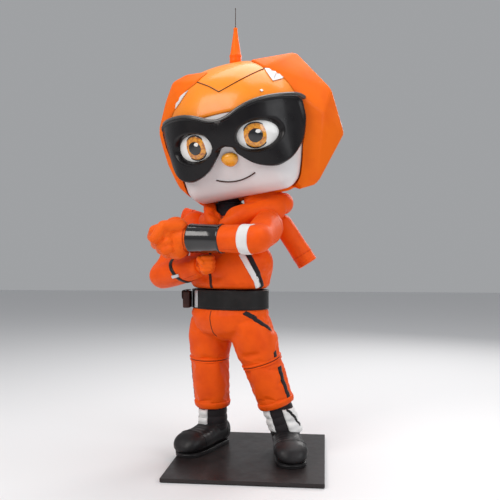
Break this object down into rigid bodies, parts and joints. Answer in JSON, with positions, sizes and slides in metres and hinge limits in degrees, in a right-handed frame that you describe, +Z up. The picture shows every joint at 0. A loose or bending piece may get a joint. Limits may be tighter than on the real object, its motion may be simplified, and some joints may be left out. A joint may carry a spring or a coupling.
{
  "type": "mascot display figure",
  "caption": "Life-size jointed mascot display figure in an orange padded suit, masked round head with a crest spike, arms folded, standing on a flat base plate.",
  "frame": {"origin": "the point of the underside under the centre of the base plate", "axes": "+Z up, -Y towards the plate's front edge, +X to the figure's left"},
  "size_m": [0.8672, 0.7354, 1.978],
  "materials": {
    "mat_rubber": "matt",
    "base_black": "satin powder coat",
    "frame_steel": "matt grey paint",
    "bright_steel": "brushed",
    "boot_black": "matt moulded",
    "boot_fabric": "matt",
    "white_quilt": "quilted",
    "suit_orange": "satin stretch cloth",
    "glove_orange": "smooth stretch cloth",
    "trim_black": "matt tape",
    "belt_black": "satin",
    "pouch_brown": "grained",
    "face_white": "gloss",
    "head_orange": "gloss paint",
    "mask_black": "semi gloss",
    "eye_white": "gloss",
    "nose_gold": "gloss",
    "mouth_black": "satin",
    "cuff_black": "high gloss",
    "aerial_dark": "satin"
  },
  "bodies": {
    "stand": {"base_mat": "mat_rubber", "base_plate": "base_black", "base_screws": "bright_steel", "leg_frame_left": "frame_steel", "leg_frame_right": "frame_steel", "sole_left": "boot_black", "sole_right": "boot_black", "shoe_left": "boot_black", "shoe_right": "boot_black", "boot_shaft_left": "boot_fabric", "boot_shaft_right": "boot_fabric", "boot_panels": "white_quilt", "shin_left": "suit_orange", "shin_right": "suit_orange", "thigh_left": "suit_orange", "thigh_right": "suit_orange", "leg_stripes": "trim_black", "pelvis": "suit_orange", "hip_frame": "frame_steel", "belt": "belt_black", "buckle": "bright_steel", "pouch": "pouch_brown"},
    "flap": {"pouch_flap": "pouch_brown"},
    "torso": {"torso_post": "frame_steel", "shoulder_bar": "frame_steel", "jacket": "suit_orange", "zip_front": "trim_black", "jacket_stripes": "trim_black", "collar": "trim_black", "hood": "suit_orange", "sleeve_tail_left": "suit_orange", "sleeve_tail_right": "suit_orange"},
    "neck": {"neck_yoke": "frame_steel", "nod_pin": "bright_steel"},
    "head": {"head_frame": "frame_steel", "face_shell": "face_white", "head_back": "head_orange", "brow_dome": "head_orange", "cowl_left": "head_orange", "cowl_right": "head_orange", "mask": "mask_black", "eye_left": "eye_white", "eye_right": "eye_white", "nose": "nose_gold", "mouth": "mouth_black", "spike": "head_orange", "aerial": "aerial_dark"},
    "left_arm": {"upper_arm_left": "suit_orange", "elbow_pin_left": "bright_steel", "shoulder_pin_left": "bright_steel"},
    "left_forearm": {"forearm_left": "suit_orange", "cuff_left": "cuff_black", "wrist_pin_left": "bright_steel"},
    "left_hand": {"hand_left": "glove_orange"},
    "right_arm": {"upper_arm_right": "suit_orange", "elbow_pin_right": "bright_steel", "shoulder_pin_right": "bright_steel"},
    "right_forearm": {"forearm_right": "suit_orange", "wrist_pin_right": "bright_steel"},
    "right_hand": {"hand_right": "glove_orange"}
  },
  "joints": [
    {"name": "flap_hinge", "type": "hinge", "parent": "stand", "child": "flap", "pos_m": [-0.281, 0.045, 0.73], "axis": [0, 1, 0], "range_deg": [0, 75]},
    {"name": "waist_turn", "type": "hinge", "parent": "stand", "child": "torso", "pos_m": [-0.1, 0.045, 0.737], "axis": [0, 0, 1], "range_deg": [-12, 12]},
    {"name": "neck_turn", "type": "hinge", "parent": "torso", "child": "neck", "pos_m": [-0.1, 0.045, 1.15], "axis": [0, 0, 1], "range_deg": [-20, 14]},
    {"name": "head_nod", "type": "hinge", "parent": "neck", "child": "head", "pos_m": [-0.1, 0.045, 1.205], "axis": [0.9695, -0.1885, 0.1564], "range_deg": [-4, 2]},
    {"name": "left_shoulder", "type": "hinge", "parent": "torso", "child": "left_arm", "pos_m": [0.06888, -0.0525, 1.01], "axis": [-0.5, -0.866, 0], "range_deg": [-12, 0]},
    {"name": "left_elbow", "type": "hinge", "parent": "left_arm", "child": "left_forearm", "pos_m": [0.04066, -0.26138, 0.95], "axis": [0, 0, 1], "range_deg": [0, 50]},
    {"name": "left_wrist", "type": "hinge", "parent": "left_forearm", "child": "left_hand", "pos_m": [-0.23616, -0.17084, 0.957], "axis": [-0.9502, 0.3108, 0.024], "range_deg": [-30, 30]},
    {"name": "right_shoulder", "type": "hinge", "parent": "torso", "child": "right_arm", "pos_m": [-0.26887, 0.1425, 1.01], "axis": [0.5, 0.866, 0], "range_deg": [0, 15]},
    {"name": "right_elbow", "type": "hinge", "parent": "right_arm", "child": "right_forearm", "pos_m": [-0.39574, 0.03677, 0.8], "axis": [0, 0, 1], "range_deg": [-10, 0]},
    {"name": "right_wrist", "type": "hinge", "parent": "right_forearm", "child": "right_hand", "pos_m": [-0.20193, -0.11554, 0.842], "axis": [0.7751, -0.6091, 0.168], "range_deg": [-30, 30]}
  ]
}
